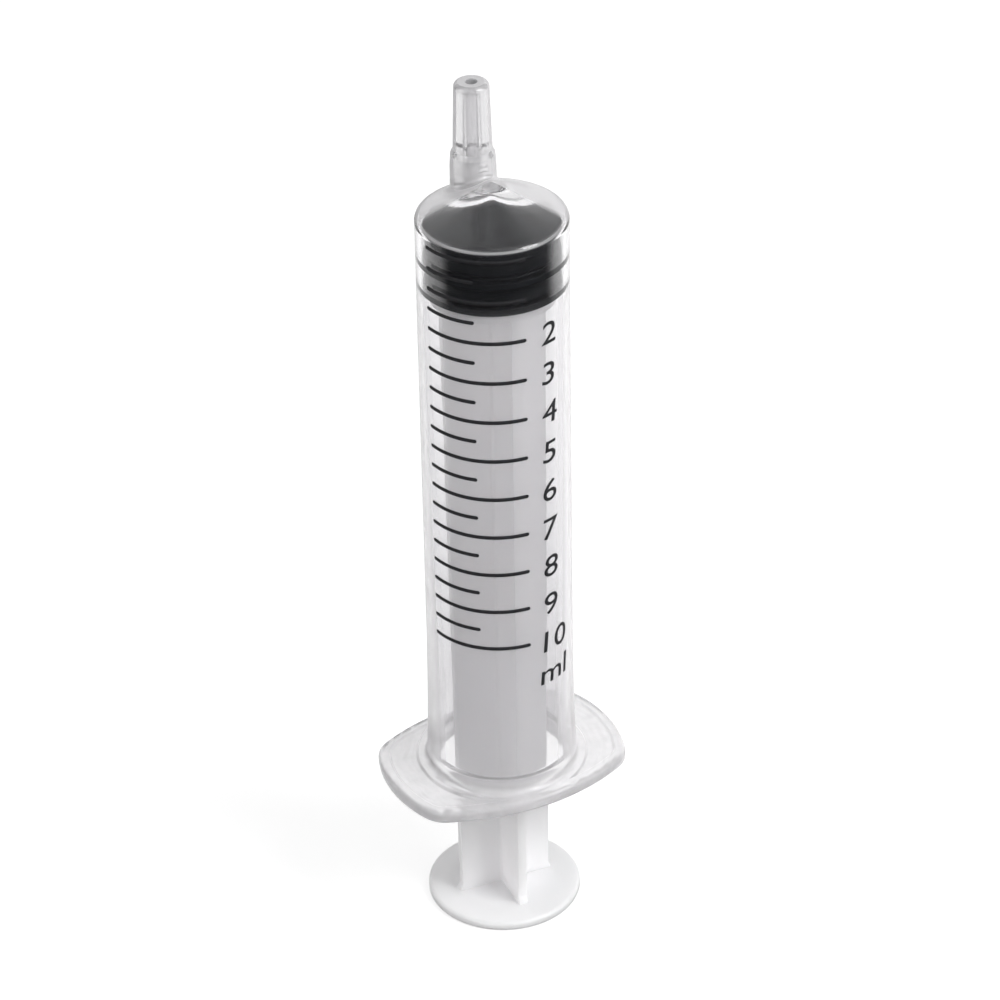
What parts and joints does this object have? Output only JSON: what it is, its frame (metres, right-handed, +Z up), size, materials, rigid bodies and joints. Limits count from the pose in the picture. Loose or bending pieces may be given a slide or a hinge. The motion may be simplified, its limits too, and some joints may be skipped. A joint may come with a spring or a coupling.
{
  "type": "slip tip syringe",
  "caption": "Clear 10 ml syringe with an off-centre conical slip tip, winged finger flange, black rubber stopper and white cross-vaned plunger rod that slides and turns.",
  "frame": {"origin": "on the barrel's axis at the underside of the thumb rest, where the syringe stands", "axes": "+Z up the barrel's axis to the tip, +X along the long way of the finger flange, +Y towards the side on which the tip stands off the axis"},
  "size_m": [0.0292, 0.0216, 0.1078],
  "materials": {
    "clear_plastic": "clear moulded polypropylene, glossy, faintly grey at the edges",
    "white_plastic": "white translucent moulded plastic, satin gloss",
    "black_rubber": "black moulded rubber with a thin film of lubricant",
    "black_ink": "grey-black printed ink, matt"
  },
  "bodies": {
    "plunger": {"plunger_rod": "white_plastic"},
    "stopper": {"rubber_stopper": "black_rubber"},
    "barrel": {"barrel": "clear_plastic", "scale_lines": "black_ink"}
  },
  "joints": [
    {"name": "rod_turn", "type": "hinge", "parent": "plunger", "child": "stopper", "pos_m": [0, 0, 0.0848], "axis": [0, 0, 1], "continuous": true},
    {"name": "plunger_travel", "type": "slide", "parent": "stopper", "child": "barrel", "axis": [0, 0, 1], "range_m": [-0.00105, 0.062]}
  ]
}
